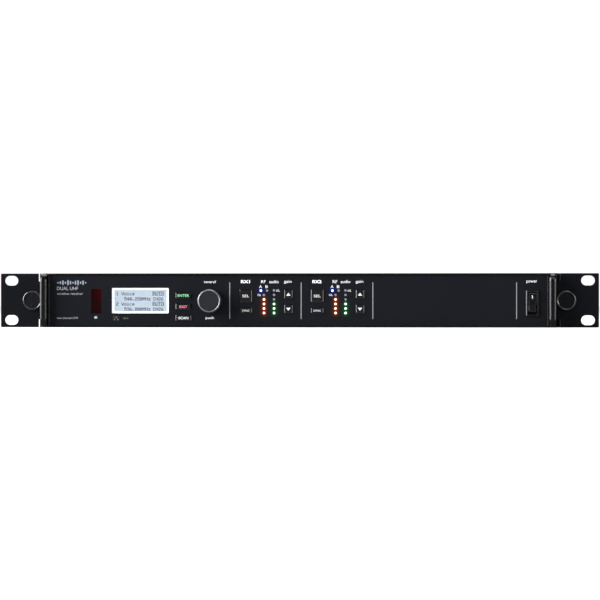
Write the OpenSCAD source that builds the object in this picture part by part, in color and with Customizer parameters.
// Rack-mount wireless microphone receiver, one rack unit high.
// Origin: the rack mounting plane (rear face of the ears), in the middle of the slot pattern.
// +X is to the right seen from the front, the front faces -Y, +Z is up.

/* [Rack ears] */
// Width over both ears, from the rack standard
rack_w = 482.6; // [482:0.1:483]
// Distance between the slot centres, left to right
slot_pitch_x = 465.1; // [465:0.1:466]
// Distance between the slot centres, bottom to top
slot_pitch_z = 31.75; // [31.5:0.05:32]
// Length of each rounded slot
slot_len = 10.9; // [10.2:0.1:11.6]
// Width of each rounded slot
slot_w = 7.9; // [6.8:0.1:8.4]
// Height of the ear plates
ear_h = 43.4; // [42.8:0.1:43.6]
// Sheet thickness of the ears
ear_t = 2; // [1.6:0.1:2]
// Length of the bracket leg along the chassis side
ear_leg_len = 58; // [50:1:70]
// Height of the bend between its two reliefs
ear_bend_h = 30.6; // [28:0.2:31]

/* [Chassis] */
// Outer width of the chassis
chassis_w = 416.2; // [416:0.1:416.4]
// Outer height of the chassis with its cover
chassis_h = 43.6; // [43.5:0.05:43.6]
// Place of the chassis front edge behind the mounting plane
chassis_front = 4; // [4:0.1:4.3]
// Place of the rear panel's outer face
chassis_back = 244; // [243.8:0.1:244.2]
// Sheet thickness of the tray
sheet_t = 1.2; // [1:0.1:1.2]
// Sheet thickness of the cover
cover_t = 1; // [0.8:0.1:1]

/* [Front] */
// Distance of the faceplate's surface in front of the mounting plane
face_out = 8; // [7.9:0.1:8]
// Thickness of the faceplate
face_t = 1.6; // [1.5:0.1:1.6]
// Width of the visible face
face_w = 400.8; // [400:0.2:401]
// Height of the front frame
frame_h = 43.4; // [43.2:0.1:43.6]
// How far the frame's rim stands in front of the face
rim_out = 1.2; // [0.6:0.1:1.4]
// How far the end guards stand in front of the mounting plane
guard_out = 15; // [12:0.5:16]
// Width of each end guard
guard_w = 5.2; // [4.8:0.1:5.4]
// Radius of the swept corners of the end guards
guard_corner = 6.6; // [4:0.2:7]

/* [Controls] */
// Diameter of the control knob
knob_d = 19; // [18:0.2:20]
// Distance of the knob's front face in front of the mounting plane
knob_out = 20; // [19.5:0.1:21]
// Inward travel of the knob when pushed
knob_travel = 0.6; // [0.4:0.1:0.7]
// Inward travel of the front buttons
key_travel = 0.8; // [0.5:0.1:0.8]
// How far the button caps stand in front of the face
key_proud = 0.9; // [0.8:0.1:1]
// Angle that the power rocker swings between its two stops
rocker_swing = 16; // [12:1:16]

/* [Hidden] */

$fn = 48;
gap = 0.1;

// Colours
black = "#1b1c21";
steel_black = "#26272c";
plastic_black = "#141519";
bright_metal = "silver";
board_green = "#1f5a3a";

// Planes along Y
face_y = -face_out;
face_back = face_y + face_t;
frame_back = chassis_front - gap;
board_y = 0;
board_t = 1.6;
part_back = board_y - 0.05;
bracket_y = 4.2;
bracket_t = 1.2;

// Chassis envelope
half_w = chassis_w / 2;
tray_floor = -chassis_h / 2;
cover_top = chassis_h / 2;
floor_in = tray_floor + sheet_t;
cover_screw_spots = [for (x = [-150, -50, 50, 150], y = [14, 236]) [x, y]];

// Front frame
frame_half = face_w / 2 + 1.6;
guard_in = frame_half + gap;
guard_edge = guard_in + guard_w;
guard_half_h = frame_h / 2 - gap;
lip = 1.3;

// Control places on the face: x, z, width, height
key_flange = 0.8;
flange_t = 1;
window_lcd = [-126.7, -0.2, 46, 20.2];
window_ir = [-162.7, -0.7, 8.8, 19.6];
status_spots = [[-146.2, -14.4, 5.2, 3.6], [-138.3, -14.4, 5.4, 2]];
menu_x = -91.6;
menu_size = [12.6, 5];
enter_place = [menu_x, 3.9];
exit_place = [menu_x, -5.15];
scan_place = [menu_x, -14.2];
knob_place = [-69.7, -0.5];
switch_place = [188.4, -2.3];

// Receiver channels, measured from each channel's left divider line
channel_x = [-54.2, 3.4];
select_off = [13, 3.5];
select_size = [10, 10.4];
sync_off = [13, -8.3];
sync_size = [10, 4.6];
up_off = [47.4, 4.9];
down_off = [47.4, -7.1];
gain_size = [6.6, 7];
led_pitch = 3.62;
antenna_offs = [[25.2, 7.8], [30.2, 7.8]];
rf_offs = [for (i = [0:4]) [27.7, 4.34 - i * led_pitch]];
audio_offs = [for (i = [0:5]) [35.8, 7.96 - i * led_pitch]];
lens_r = 0.95;
lens_proud = 0.15;

key_spots = concat(
  [for (p = [enter_place, exit_place, scan_place]) [p, menu_size]],
  [for (c = channel_x) each [
    [[c, 0] + select_off, select_size], [[c, 0] + sync_off, sync_size],
    [[c, 0] + up_off, gain_size], [[c, 0] + down_off, gain_size]]]);
lens_spots = [for (c = channel_x) each [
  for (o = concat(antenna_offs, rf_offs, audio_offs)) [c, 0] + o]];

// Push switches behind the keys
switch_w = 6;
switch_len = 3.9;
stem_r = 1.2;
stem_bore_r = 1.5;
stem_end = -2.5;

// Encoder and knob
shaft_r = 3;
rotor_bore_r = 3.06;
bushing_r = 4.4;
bushing_bore_r = 3.3;
encoder_w = 12.5;
encoder_front = -5.6;
rotor_span = [-4.4, -2];
nut_span = [face_y - 2.1, face_y - gap];
knob_gap = 0.9;

// Power switch
rocker_y = face_y + 2.4;
rocker_w = 5.8;
rocker_half_h = 7.7;
rocker_pin_r = 1;
rocker_hole = [6.5, 17];
switch_frame = [10.2, 20.8];
switch_body_end = 22;
switch_lip = 1.4;

// Ears
plug_x = 215.3;
plug_hole_r = 5.2;
plug_head_r = 7.8;
relief_x = 210.5;
relief_back = 3;
leg_t = 2;
ear_screw_ys = [14, 30, 46];
ear_screw_zs = [-9, 9];
screw_r = 1.9;
screw_head_r = 2.8;

// Boards
board_pins = [[-156, 12.6], [-78, -15], [62, 12.6]];
board_pin_r = 1.2;
main_board_z = -14;
standoff_r = 3;
wire_r = 1.1;
terminal_h = 2.8;
main_span = [[-192, 118], [34, 222]];
supply_span = [[126, 200], [62, 196]];

// Rear panel: x of each socket
rear_in = chassis_back - sheet_t;
antenna_x = [-190, -167, 92, 69];
antenna_z = 1;
antenna_barrel_r = 4.8;
antenna_out = 10;
output_x = [-128, -34];
output_r = 11.2;
jack_x = [-98, -4];
jack_r = 5.5;
jack_bore_r = 3.25;
level_x = [-81, 13];
level_travel = 2.5;
network_x = [32, 50];
network_size = [15.6, 13.2, 21];
network_z = 2;
inlet_x = 172;
inlet_z = 0;
inlet_cavity = [24.4, 16.6];
inlet_depth = 16;

function at(c, off) = [c + off[0], off[1]];

// ---- helpers ----
module span_box(x, y, z) {
  translate([x[0], y[0], z[0]])
    cube([x[1] - x[0], y[1] - y[0], z[1] - z[0]]);
}

module round_rect(w, h, r) {
  square([w - 2 * r, h], center = true);
  square([w, h - 2 * r], center = true);
  for (sx = [-1, 1], sz = [-1, 1])
    translate([sx * (w / 2 - r), sz * (h / 2 - r)]) circle(r = r);
}

// Rounded plate that faces along Y, between two Y values
module plate(p, w, h, y, r = 0.5) {
  translate([p[0], y[1], p[1]])
    rotate([90, 0, 0])
      linear_extrude(y[1] - y[0]) round_rect(w, h, r);
}

// Round bar along Y, between two Y values
module rod(p, r, y) {
  translate([p[0], y[1], p[1]])
    rotate([90, 0, 0]) cylinder(r = r, h = y[1] - y[0]);
}

// Round bar along X, between two X values
module cross_rod(r, x, y, z) {
  translate([x[0], y, z])
    rotate([0, 90, 0]) cylinder(r = r, h = x[1] - x[0]);
}

module both_sides() {
  children();
  mirror([1, 0, 0]) children();
}

// ---- chassis ----
module side_vents() {
  for (i = [0:11], z = [-9, 9])
    span_box([-half_w - 1, half_w + 1], [140 + i * 7, 143 + i * 7], [z - 6, z + 6]);
}

module chassis_tray() {
  wall_top = cover_top - cover_t - gap;
  color(steel_black) difference() {
    union() {
      difference() {
        span_box([-half_w, half_w], [chassis_front, chassis_back], [tray_floor, wall_top]);
        span_box([-half_w + sheet_t, half_w - sheet_t], [chassis_front - 1, rear_in],
                 [floor_in, cover_top]);
      }
      span_box([-200, 200], [rear_in - 14, rear_in + gap], [wall_top - sheet_t, wall_top]);
    }
    for (p = cover_screw_spots) translate([p[0], p[1], 0]) cylinder(r = 1.6, h = 30);
    side_vents();
    for (y = ear_screw_ys, z = ear_screw_zs)
      cross_rod(screw_r + 0.05, [-half_w - 1, half_w + 1], y, z);
    for (x = antenna_x) rod([x, antenna_z], 6.45, [rear_in - 1, chassis_back + 1]);
    for (x = output_x) rod([x, 0], output_r + 0.3, [rear_in - 1, chassis_back + 1]);
    for (x = jack_x) rod([x, 0], jack_r + 0.1, [rear_in - 1, chassis_back + 1]);
    for (x = level_x) plate([x, 0], 8.4, 4.6, [rear_in - 1, chassis_back + 1], 0.3);
    for (x = network_x)
      plate([x, network_z], network_size[0] + 0.4, network_size[1] + 0.4,
            [rear_in - 1, chassis_back + 1], 0.3);
    plate([inlet_x, inlet_z], 28.4, 20.4, [rear_in - 1, chassis_back + 1], 2);
  }
}

module top_cover() {
  flange_x = half_w - sheet_t - gap;
  color(steel_black) difference() {
    union() {
      span_box([-half_w, half_w], [chassis_front, chassis_back], [cover_top - cover_t, cover_top]);
      both_sides()
        span_box([flange_x - cover_t, flange_x], [chassis_front + 66, rear_in - 4],
                 [cover_top - 6, cover_top - cover_t / 2]);
    }
    for (p = cover_screw_spots) translate([p[0], p[1], cover_top - 2])
      cylinder(r = screw_head_r + 0.05, h = 4);
  }
}

module cover_screws() {
  color(bright_metal)
    for (p = cover_screw_spots) translate([p[0], p[1], 0]) {
      difference() {
        translate([0, 0, cover_top - cover_t]) cylinder(r = screw_head_r, h = cover_t - 0.05);
        for (a = [0, 90]) rotate(a) translate([0, 0, cover_top]) cube([3.4, 0.7, 1], center = true);
      }
      translate([0, 0, cover_top - 7]) cylinder(r = 1.5, h = 7 - cover_t + 0.1);
    }
}

// ---- front panel ----
module face_cutouts(grow, y) {
  plate([window_lcd[0], window_lcd[1]], window_lcd[2] + 2 * grow, window_lcd[3] + 2 * grow, y, 0.6);
  plate([window_ir[0], window_ir[1]], window_ir[2] + 2 * grow, window_ir[3] + 2 * grow, y, 0.6);
  for (s = status_spots) plate([s[0], s[1]], s[2] + 2 * grow, s[3] + 2 * grow, y, 0.3);
  for (k = key_spots) plate(k[0], k[1][0] + 0.6, k[1][1] + 0.6, y, 0.6);
  for (s = lens_spots) rod(s, lens_r + grow, y);
  rod(knob_place, bushing_r + 0.2, y);
  plate(switch_place, 9.2, 19.6, y, 0.5);
}

module faceplate() {
  color(black) difference() {
    plate([0, 0], face_w, frame_h - 2 * lip, [face_y, face_back], 1.2);
    face_cutouts(0.1, [face_y - 1, face_back + 1]);
  }
}

module front_frame() {
  color(plastic_black) difference() {
    plate([0, 0], 2 * frame_half, frame_h, [face_y - rim_out, frame_back], 2);
    plate([0, 0], face_w + 0.1, frame_h - 2 * lip + 0.1, [face_y - rim_out - 1, face_back + 0.05], 1.2);
    plate([0, 0], face_w - 4, frame_h - 2 * lip - 3, [face_y, frame_back + 1], 1);
  }
}

module end_guards() {
  color(plastic_black) both_sides() {
    intersection() {
      span_box([guard_in, guard_edge], [-guard_out, -ear_t - 0.2], [-guard_half_h, guard_half_h]);
      translate([guard_in, 0, 0]) rotate([0, 90, 0]) linear_extrude(guard_edge - guard_in)
        polygon(guard_profile);
    }
    span_box([guard_in, guard_edge - 0.1], [-ear_t - 0.3, frame_back], [-guard_half_h, guard_half_h]);
  }
}

// Outline of a guard seen from the side, with swept-back corners: [-z, y]
guard_profile = concat(
  [[guard_half_h, frame_back], [-guard_half_h, frame_back]],
  [for (a = [180:15:270])
    [-guard_half_h + guard_corner + guard_corner * cos(a), -guard_out + guard_corner + guard_corner * sin(a)]],
  [for (a = [270:15:360])
    [guard_half_h - guard_corner + guard_corner * cos(a), -guard_out + guard_corner + guard_corner * sin(a)]]);

module front_bracket() {
  top = cover_top - cover_t - 0.2;
  low = floor_in + gap;
  color(bright_metal) difference() {
    union() {
      span_box([-204, 204], [bracket_y, bracket_y + bracket_t], [low, top]);
      span_box([-204, 204], [bracket_y, bracket_y + 18], [top - bracket_t, top]);
      span_box([-204, 204], [bracket_y, bracket_y + 18], [low, low + bracket_t]);
      for (p = board_pins) {
        rod(p, 2.4, [board_y + board_t, bracket_y + 0.1]);
        rod(p, board_pin_r, [board_y - 0.6, bracket_y]);
      }
    }
    span_box([-48, -12], [bracket_y - 1, bracket_y + 2], [-12, -6]);
    plate(switch_place, 9.6, 20, [bracket_y - 1, bracket_y + 2], 0.5);
    for (p = cover_screw_spots) translate([p[0], p[1], 0]) cylinder(r = 1.6, h = 30);
  }
}

// ---- ears ----
module rack_ear() {
  leg_x = half_w + gap;
  color(steel_black) difference() {
    union() {
      plate([(rack_w / 2 + leg_x) / 2, 0], rack_w / 2 - leg_x, ear_h, [-ear_t, 0], 1);
      span_box([leg_x, leg_x + leg_t], [-ear_t, ear_leg_len], [-ear_h / 2, ear_h / 2]);
    }
    for (z = [[ear_bend_h / 2, ear_h], [-ear_h, -ear_bend_h / 2]])
      span_box([leg_x - 1, relief_x], [-ear_t - 1, relief_back], z);
    for (s = [-1, 1]) translate([slot_pitch_x / 2, 0, s * slot_pitch_z / 2])
      rotate([90, 0, 0]) linear_extrude(3 * ear_t, center = true) {
        square([slot_len - slot_w, slot_w], center = true);
        for (e = [-1, 1]) translate([e * (slot_len - slot_w) / 2, 0]) circle(d = slot_w);
      }
    rod([plug_x, 0], plug_hole_r, [-ear_t - 1, 1]);
    for (y = ear_screw_ys, z = ear_screw_zs)
      cross_rod(screw_r + 0.2, [leg_x - 1, leg_x + leg_t + 1], y, z);
  }
}

module rack_ear_right() {
  rack_ear();
}

module rack_ear_left() {
  mirror([1, 0, 0]) rack_ear();
}

module ear_plugs() {
  color(plastic_black) both_sides() {
    rod([plug_x, 0], plug_head_r, [-ear_t - 1.4, -ear_t]);
    difference() {
      rod([plug_x, 0], plug_head_r, [-ear_t - 2.2, -ear_t - 1.3]);
      rod([plug_x, 0], plug_head_r - 0.9, [-ear_t - 3, -ear_t - 1.4]);
    }
    difference() {
      rod([plug_x, 0], plug_hole_r - 0.05, [-ear_t - 0.1, 1.9]);
      rod([plug_x, 0], plug_hole_r - 1.4, [-ear_t + 0.4, 3]);
    }
  }
}

module ear_screws() {
  head_x = half_w + gap + leg_t;
  color(bright_metal) both_sides() for (y = ear_screw_ys, z = ear_screw_zs) {
    difference() {
      cross_rod(3.4, [head_x, head_x + 1.6], y, z);
      translate([head_x + 1.4, y, z]) for (a = [0, 90])
        rotate([a, 0, 0]) cube([1.6, 4, 0.8], center = true);
    }
    cross_rod(screw_r, [half_w - 4, head_x + 0.1], y, z);
  }
}

// ---- windows, display and indicators ----
module ir_window() {
  color("#3c0208")
    plate([window_ir[0], window_ir[1]], window_ir[2], window_ir[3], [face_y, face_back + 0.6], 0.5);
}

module ir_transceiver() {
  color("#202024") plate([window_ir[0], window_ir[1]], 4.4, 9.8, [-5, part_back], 0.4);
  color("#300408") for (s = [-1, 1]) rod([window_ir[0], window_ir[1] + s * 2.6], 1.6, [-5.6, -4.9]);
}

module lcd_window() {
  color("#c8d8e6", 0.4)
    plate([window_lcd[0], window_lcd[1]], window_lcd[2], window_lcd[3], [face_y + 0.2, face_back - 0.2], 0.5);
}

module lcd_panel() {
  color("#cdd9e6")
    plate([window_lcd[0], window_lcd[1]], window_lcd[2] - 3.4, window_lcd[3] - 3, [-5.9, -3.4], 0.2);
}

module lcd_holder() {
  color("white") difference() {
    plate([window_lcd[0], window_lcd[1]], window_lcd[2] + 3, window_lcd[3] + 3, [-6.2, part_back], 0.8);
    plate([window_lcd[0], window_lcd[1]], window_lcd[2] - 3.2, window_lcd[3] - 2.8, [-7, -3.3], 0.2);
  }
}

module status_lenses() {
  color("#5a5a48")
    for (s = status_spots) plate([s[0], s[1]], s[2], s[3], [face_y, face_back + 1], 0.2);
}

module lens(p) {
  rod(p, lens_r, [face_y - lens_proud, -1.6]);
}

module antenna_lenses() {
  color("#8fb0ff") for (c = channel_x, o = antenna_offs) lens(at(c, o));
}

module rf_meter_lenses() {
  color("#ffb070") for (c = channel_x, o = rf_offs) lens(at(c, o));
}

module audio_meter_lenses() {
  color("#80ff9a") for (c = channel_x, o = audio_offs) lens(at(c, o));
}

module front_leds() {
  color("#f4f0d0") for (s = lens_spots) plate(s, 1.6, 0.9, [-0.8, part_back], 0.1);
}

module front_board() {
  color(board_green) difference() {
    span_box([-168, 66], [board_y, board_y + board_t], [-17.4, 15]);
    for (p = board_pins) rod(p, board_pin_r + 0.05, [-1, 3]);
  }
}

// ---- keys ----
module key_switches() {
  color("#2a2a2e") for (k = key_spots) difference() {
    plate(k[0], switch_w, min(switch_w, k[1][1] - 0.4), [part_back - switch_len, part_back], 0.3);
    rod(k[0], stem_bore_r, [part_back - switch_len - 1, stem_end + key_travel + 0.15]);
  }
}

module key(p, size) {
  color(plastic_black) {
    plate(p, size[0], size[1], [face_y - key_proud, face_back + 0.2], 0.5);
    plate(p, size[0] + 2 * key_flange, size[1] + 2 * key_flange,
          [face_back + 0.1, face_back + 0.1 + flange_t], 0.5);
    rod(p, stem_r, [face_back + flange_t, stem_end]);
  }
}

module enter_button() { key(enter_place, menu_size); }
module exit_button() { key(exit_place, menu_size); }
module scan_button() { key(scan_place, menu_size); }
module select_button_1() { key(at(channel_x[0], select_off), select_size); }
module sync_button_1() { key(at(channel_x[0], sync_off), sync_size); }
module gain_up_button_1() { key(at(channel_x[0], up_off), gain_size); }
module gain_down_button_1() { key(at(channel_x[0], down_off), gain_size); }
module select_button_2() { key(at(channel_x[1], select_off), select_size); }
module sync_button_2() { key(at(channel_x[1], sync_off), sync_size); }
module gain_up_button_2() { key(at(channel_x[1], up_off), gain_size); }
module gain_down_button_2() { key(at(channel_x[1], down_off), gain_size); }

// ---- knob ----
module encoder_body() {
  color(bright_metal) difference() {
    union() {
      plate(knob_place, encoder_w, encoder_w, [encoder_front, part_back], 0.4);
      rod(knob_place, bushing_r, [nut_span[0] - 0.6, encoder_front + 0.5]);
    }
    rod(knob_place, bushing_bore_r, [-20, -1]);
    rod(knob_place, 4.9, [rotor_span[0] - 0.2, rotor_span[1] + 0.2]);
  }
}

module encoder_nut() {
  color(bright_metal) difference() {
    translate([knob_place[0], nut_span[1], knob_place[1]])
      rotate([90, 0, 0]) cylinder(r = 6.2, h = nut_span[1] - nut_span[0], $fn = 6);
    rod(knob_place, bushing_r + 0.02, [nut_span[0] - 1, 0]);
  }
}

module encoder_rotor() {
  color("#c9a050") difference() {
    rod(knob_place, 4.6, rotor_span);
    rod(knob_place, rotor_bore_r, [rotor_span[0] - 1, rotor_span[1] + 1]);
  }
}

module knob_shaft() {
  color(bright_metal) rod(knob_place, shaft_r, [-knob_out + 2, rotor_span[1] + 0.2]);
}

module knob() {
  color(black) difference() {
    translate([knob_place[0], 0, knob_place[1]]) rotate([90, 0, 0]) rotate_extrude($fn = 96)
      polygon([[0, knob_out], [knob_d / 2 - 1.2, knob_out], [knob_d / 2, knob_out - 1],
               [knob_d / 2, face_out + knob_gap], [0, face_out + knob_gap]]);
    rod(knob_place, 7.4, [nut_span[0] - knob_travel - 0.9, 0]);
    rod(knob_place, shaft_r + 0.02, [-knob_out + 2, 0]);
  }
}

// ---- power switch ----
module power_switch_frame() {
  color(plastic_black) difference() {
    union() {
      plate(switch_place, switch_frame[0], switch_frame[1], [face_y - switch_lip, face_y], 0.6);
      plate(switch_place, 9, 19.4, [face_y - 0.1, switch_body_end], 0.4);
    }
    plate(switch_place, rocker_hole[0], rocker_hole[1], [face_y - 3, 2], 0.4);
    cross_rod(rocker_pin_r + 0.06, [switch_place[0] - 4.2, switch_place[0] + 4.2],
              rocker_y, switch_place[1]);
  }
  color("#c9a050") for (z = [-6, 0, 6])
    plate([switch_place[0], switch_place[1] + z], 4.8, 0.8, [switch_body_end - 0.1, switch_body_end + 6], 0.2);
}

// Side outline of the rocker: [out, up] about its pivot, two flats meeting in a shallow valley
rocker_dish = 3.3;
rocker_flat_rise = rocker_half_h * tan(rocker_swing / 2);
rocker_outline = concat(
  [[rocker_dish + rocker_flat_rise, rocker_half_h], [rocker_dish, 0],
   [rocker_dish + rocker_flat_rise, -rocker_half_h], [0.6, -rocker_half_h]],
  [for (a = [-60:15:60]) [-1.2 - 2.4 * cos(a), 4.6 * sin(a)]],
  [[0.6, rocker_half_h]]);

module power_rocker() {
  color(plastic_black) translate([switch_place[0], rocker_y, switch_place[1]])
    rotate([-rocker_swing / 2, 0, 0]) {
      rotate([90, 0, -90]) linear_extrude(rocker_w, center = true) polygon(rocker_outline);
      cross_rod(rocker_pin_r, [-4, 4], 0, 0);
    }
}

// ---- inside ----
standoff_spots = [for (x = [-186, -60, 66], y = [42, 128, 214]) [x, y]];
supply_spots = [for (x = [132, 194], y = [66, 190]) [x, y]];

module main_board() {
  color(board_green) difference() {
    span_box(main_span[0], main_span[1], [main_board_z, main_board_z + board_t]);
    for (p = standoff_spots) translate([p[0], p[1], main_board_z - 1]) cylinder(r = 1.6, h = 4);
  }
}

module board_standoffs() {
  color(bright_metal) for (p = concat(standoff_spots, supply_spots)) translate([p[0], p[1], 0]) {
    translate([0, 0, floor_in]) cylinder(r = standoff_r, h = main_board_z - floor_in);
    translate([0, 0, main_board_z - 0.1]) cylinder(r = 1.5, h = board_t + 0.1);
    translate([0, 0, main_board_z + board_t]) cylinder(r = 2.8, h = 1.4);
  }
}

module tuner_shields() {
  color(bright_metal) for (x = [-150, -30]) difference() {
    span_box([x - 40, x + 40], [54, 122], [main_board_z + board_t, main_board_z + board_t + 13]);
    span_box([x - 39.5, x + 39.5], [54.5, 121.5], [main_board_z, main_board_z + board_t + 12.5]);
  }
}

module ribbon_cable() {
  top_z = main_board_z + board_t;
  color("gainsboro") {
    span_box([-46, -14], [board_y + board_t, 38], [-9.2, -8.4]);
    span_box([-46, -14], [37.2, 38], [top_z, -8.4]);
  }
}

module power_supply_board() {
  color(board_green) difference() {
    span_box(supply_span[0], supply_span[1], [main_board_z, main_board_z + board_t]);
    for (p = supply_spots) translate([p[0], p[1], main_board_z - 1]) cylinder(r = 1.6, h = 4);
  }
}

module power_supply_parts() {
  top_z = main_board_z + board_t;
  color("#c8b060") span_box([142, 168], [112, 140], [top_z, top_z + 22]);
  color("#303848") for (p = [[148, 88], [166, 88], [184, 152]])
    translate([p[0], p[1], top_z]) cylinder(r = 7.5, h = 24);
  color("#8c9096") for (i = [0:5])
    span_box([176 + i * 3, 177 + i * 3], [100, 138], [top_z + 2, top_z + 22]);
  color("#8c9096") span_box([176, 192], [100, 138], [top_z, top_z + 2]);
  color("#202020") span_box([180, 196], [70, 84], [top_z, top_z + terminal_h]);
}

// Two wires from the switch's outer terminals, each ending in a boot on the terminal block
module mains_wires() {
  color("#6a3a28") for (i = [0, 1]) {
    z = switch_place[1] + (i == 0 ? 6 : -6);
    drop_y = i == 0 ? 73 : 80;
    boot_x = switch_place[0] + (i == 0 ? 1.6 : -1.6);
    rod([boot_x, z], wire_r, [switch_body_end + 6.1, drop_y]);
    translate([boot_x, drop_y, main_board_z + board_t + terminal_h])
      cylinder(r = wire_r + 0.3, h = z + wire_r + 0.3 - main_board_z - board_t - terminal_h);
  }
}

// ---- rear panel ----
module antenna_sockets() {
  color(bright_metal) for (x = antenna_x) {
    difference() {
      union() {
        rod([x, antenna_z], 6.3, [rear_in - 2.5, chassis_back + 0.6]);
        rod([x, antenna_z], antenna_barrel_r, [rear_in - 4, chassis_back + antenna_out]);
        cross_rod(1, [x - 5.6, x + 5.6], chassis_back + 6.6, antenna_z);
      }
      rod([x, antenna_z], 3.6, [chassis_back - 1, chassis_back + antenna_out + 1]);
    }
    span_box([x - 7, x + 7], [rear_in - 12, rear_in - 2.4], [main_board_z + board_t + 0.2, antenna_z + 7]);
  }
}

module antenna_socket_cores() {
  color("ivory") for (x = antenna_x) difference() {
    rod([x, antenna_z], 2.6, [chassis_back - 1, chassis_back + antenna_out - 2.5]);
    rod([x, antenna_z], 0.7, [chassis_back + 2, chassis_back + antenna_out]);
  }
}

module output_sockets() {
  for (x = output_x) {
    color(bright_metal) difference() {
      union() {
        plate([x, 0], 26, 31, [chassis_back, chassis_back + 1.6], 1.5);
        rod([x, 0], output_r, [rear_in - 16, chassis_back + 0.1]);
        span_box([x - 9, x + 9], [rear_in - 15, rear_in - 4], [main_board_z + board_t + 0.2, -8]);
      }
      rod([x, 0], 8.1, [rear_in - 14, chassis_back + 3]);
      for (s = [-1, 1]) rod([x + s * 9.5, s * 12], 1.7, [chassis_back - 1, chassis_back + 3]);
    }
  }
}

module output_socket_pins() {
  color("#d8c070") for (x = output_x, a = [30, 150, 270])
    rod([x + 3.81 * cos(a), 3.81 * sin(a)], 1.2, [rear_in - 14, chassis_back - 1]);
}

module line_jacks() {
  for (x = jack_x) {
    color(plastic_black) difference() {
      union() {
        span_box([x - 8, x + 8], [rear_in - 27, rear_in - gap], [main_board_z + board_t + 0.2, 8]);
        rod([x, 0], jack_r, [rear_in - 1, chassis_back + 4]);
      }
      rod([x, 0], jack_bore_r, [rear_in - 25, chassis_back + 5]);
    }
    color(bright_metal) difference() {
      rod([x, 0], 7.6, [chassis_back, chassis_back + 2]);
      rod([x, 0], jack_r, [chassis_back - 1, chassis_back + 3]);
    }
  }
}

module level_switch_bodies() {
  color("#2a2a2e") for (x = level_x) difference() {
    union() {
      plate([x, 0], 8.2, 4.4, [rear_in - 0.2, chassis_back - 0.2], 0.3);
      span_box([x - 6, x + 6], [rear_in - 8, rear_in - gap], [main_board_z + board_t + 0.2, 3.5]);
    }
    span_box([x - 3, x + 3], [rear_in - 3, chassis_back + 1], [-1.2, 1.2]);
  }
}

module level_lever(x) {
  color("white") span_box([x - 2.9, x - 2.9 + 3.2], [rear_in - 2.6, chassis_back + 1.2], [-1, 1]);
}

module level_lever_1() { level_lever(level_x[0]); }
module level_lever_2() { level_lever(level_x[1]); }

module network_jacks() {
  for (x = network_x) {
    color(bright_metal) difference() {
      plate([x, network_z], network_size[0], network_size[1],
            [chassis_back - network_size[2], chassis_back + 0.6], 0.3);
      span_box([x - 5.9, x + 5.9], [chassis_back - 14, chassis_back + 2],
               [network_z - 4.4, network_z + 3.2]);
      span_box([x - 3.2, x + 3.2], [chassis_back - 14, chassis_back + 2],
               [network_z + 3, network_z + 5.4]);
    }
    color(plastic_black)
      span_box([x - 6, x + 6], [chassis_back - network_size[2], chassis_back - network_size[2] + 8],
               [main_board_z + board_t + 0.2, network_z - network_size[1] / 2]);
  }
}

module ac_inlet() {
  color(plastic_black) difference() {
    union() {
      plate([inlet_x, inlet_z], 50, 24, [chassis_back, chassis_back + 2.6], 6);
      plate([inlet_x, inlet_z], 28, 20, [chassis_back - 20, chassis_back + 0.1], 1.8);
    }
    plate([inlet_x, inlet_z], inlet_cavity[0], inlet_cavity[1],
          [chassis_back - inlet_depth, chassis_back + 4], 2);
    for (s = [-1, 1]) rod([inlet_x + s * 20, inlet_z], 1.7, [chassis_back - 1, chassis_back + 4]);
  }
}

module ac_inlet_pins() {
  color("#d0d0d0") for (p = [[-7, -2.6], [0, 1.6], [7, -2.6]])
    plate([inlet_x + p[0], inlet_z + p[1]], 2, 4, [chassis_back - inlet_depth, chassis_back - 2], 0.4);
}

chassis_tray();
top_cover();
cover_screws();
front_frame();
faceplate();
end_guards();
front_bracket();
rack_ear_left();
rack_ear_right();
ear_plugs();
ear_screws();
ir_window();
ir_transceiver();
lcd_window();
lcd_panel();
lcd_holder();
status_lenses();
antenna_lenses();
rf_meter_lenses();
audio_meter_lenses();
front_leds();
front_board();
key_switches();
enter_button();
exit_button();
scan_button();
select_button_1();
sync_button_1();
gain_up_button_1();
gain_down_button_1();
select_button_2();
sync_button_2();
gain_up_button_2();
gain_down_button_2();
encoder_body();
encoder_nut();
encoder_rotor();
knob_shaft();
knob();
power_switch_frame();
power_rocker();
main_board();
board_standoffs();
tuner_shields();
ribbon_cable();
power_supply_board();
power_supply_parts();
mains_wires();
ac_inlet();
ac_inlet_pins();
antenna_sockets();
antenna_socket_cores();
output_sockets();
output_socket_pins();
line_jacks();
level_switch_bodies();
level_lever_1();
level_lever_2();
network_jacks();
